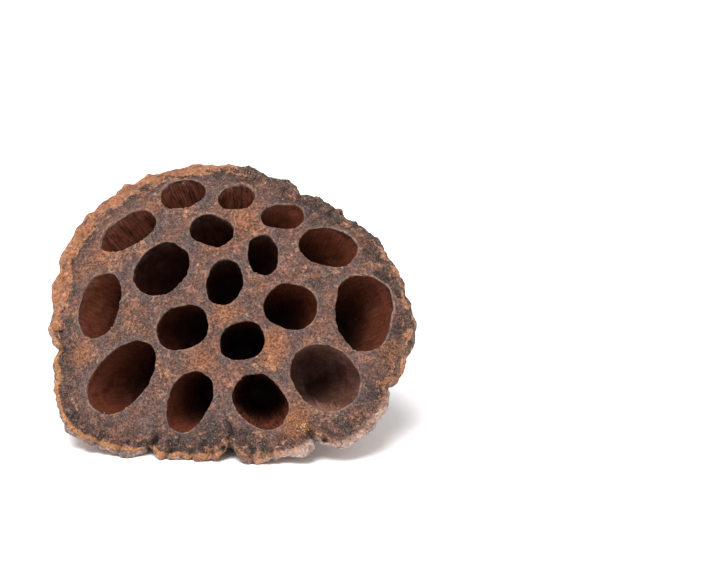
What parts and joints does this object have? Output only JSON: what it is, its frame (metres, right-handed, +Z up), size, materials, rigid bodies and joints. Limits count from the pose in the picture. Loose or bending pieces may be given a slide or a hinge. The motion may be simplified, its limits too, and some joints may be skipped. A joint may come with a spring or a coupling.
{
  "type": "dried lotus pod",
  "caption": "Dried lotus seed pod lying on its flank: a domed face of empty oval seed cavities, a crinkled rim, a ribbed cone behind it and a short cut stem stub.",
  "frame": {"origin": "on the surface that the pod rests on, in the middle of its bounding box's footprint", "axes": "+Z up, +X across the face to its right as seen from the front; the face looks along -Y and up, 42 degrees above the horizon, and the stem stub points along +Y and down"},
  "size_m": [0.1128, 0.07, 0.0732],
  "materials": {
    "dried_pod_tissue": "matt, papery and fibrous: grey-brown to mauve-brown face with rust patches, tan rim, dark red-brown seed cavities"
  },
  "bodies": {
    "root": {"lotus_pod": "dried_pod_tissue"}
  },
  "joints": []
}
